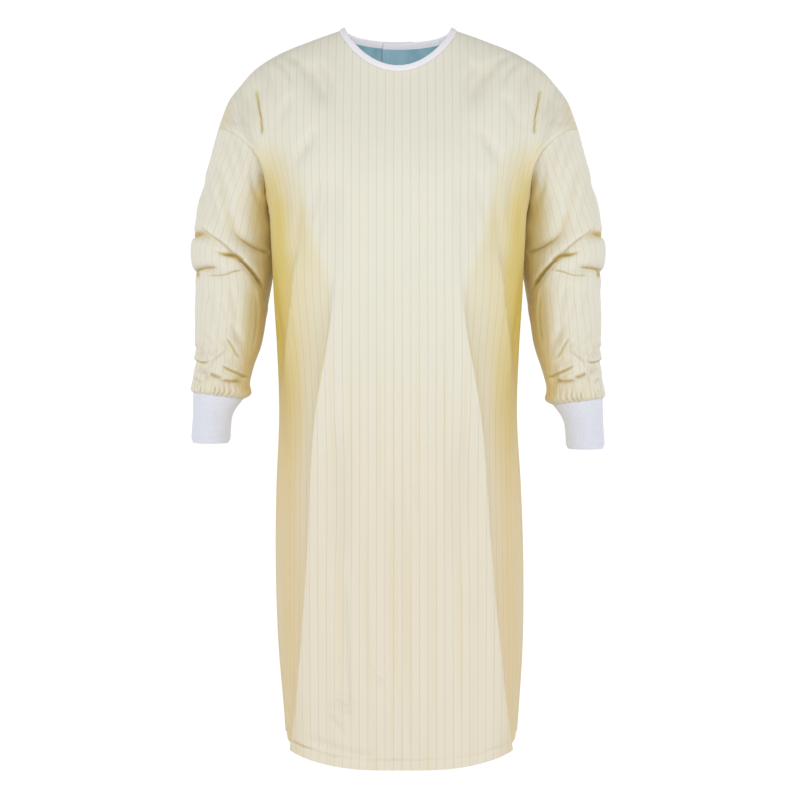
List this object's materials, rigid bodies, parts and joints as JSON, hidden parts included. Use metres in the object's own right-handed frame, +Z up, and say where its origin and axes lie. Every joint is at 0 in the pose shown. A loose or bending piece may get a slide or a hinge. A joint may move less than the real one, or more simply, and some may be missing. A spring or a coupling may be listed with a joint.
{
  "type": "isolation gown",
  "caption": "Long-sleeved isolation gown, open and hollow as worn, with a bound round neck, dropped shoulders, rib-knit cuffs and a back lap closed by press studs.",
  "frame": {"origin": "on the centre line at the height of the two neck points, where the wearer's shoulders and neck hold the gown", "axes": "+Z up along the gown's length, -Y the way the front faces, +X to the wearer's left"},
  "size_m": [0.6528, 0.3132, 1.1279],
  "materials": {
    "gown_cloth": "cream yellow close-woven polyester with fine dark lengthwise stripes outside and a teal coated inside",
    "rib_knit": "white rib knit",
    "binding_tape": "white folded binding",
    "stud_metal": "satin nickel-plated press stud"
  },
  "bodies": {
    "root": {"front_panel": "gown_cloth", "back_panel_right": "gown_cloth", "back_panel_left": "gown_cloth", "sleeve_right": "gown_cloth", "sleeve_left": "gown_cloth", "cuff_right": "rib_knit", "cuff_left": "rib_knit", "neck_binding": "binding_tape", "press_stud_1_cap": "stud_metal", "press_stud_1_socket": "stud_metal", "press_stud_1_post": "stud_metal", "press_stud_2_cap": "stud_metal", "press_stud_2_socket": "stud_metal", "press_stud_2_post": "stud_metal", "press_stud_3_cap": "stud_metal", "press_stud_3_socket": "stud_metal", "press_stud_3_post": "stud_metal"}
  },
  "joints": []
}
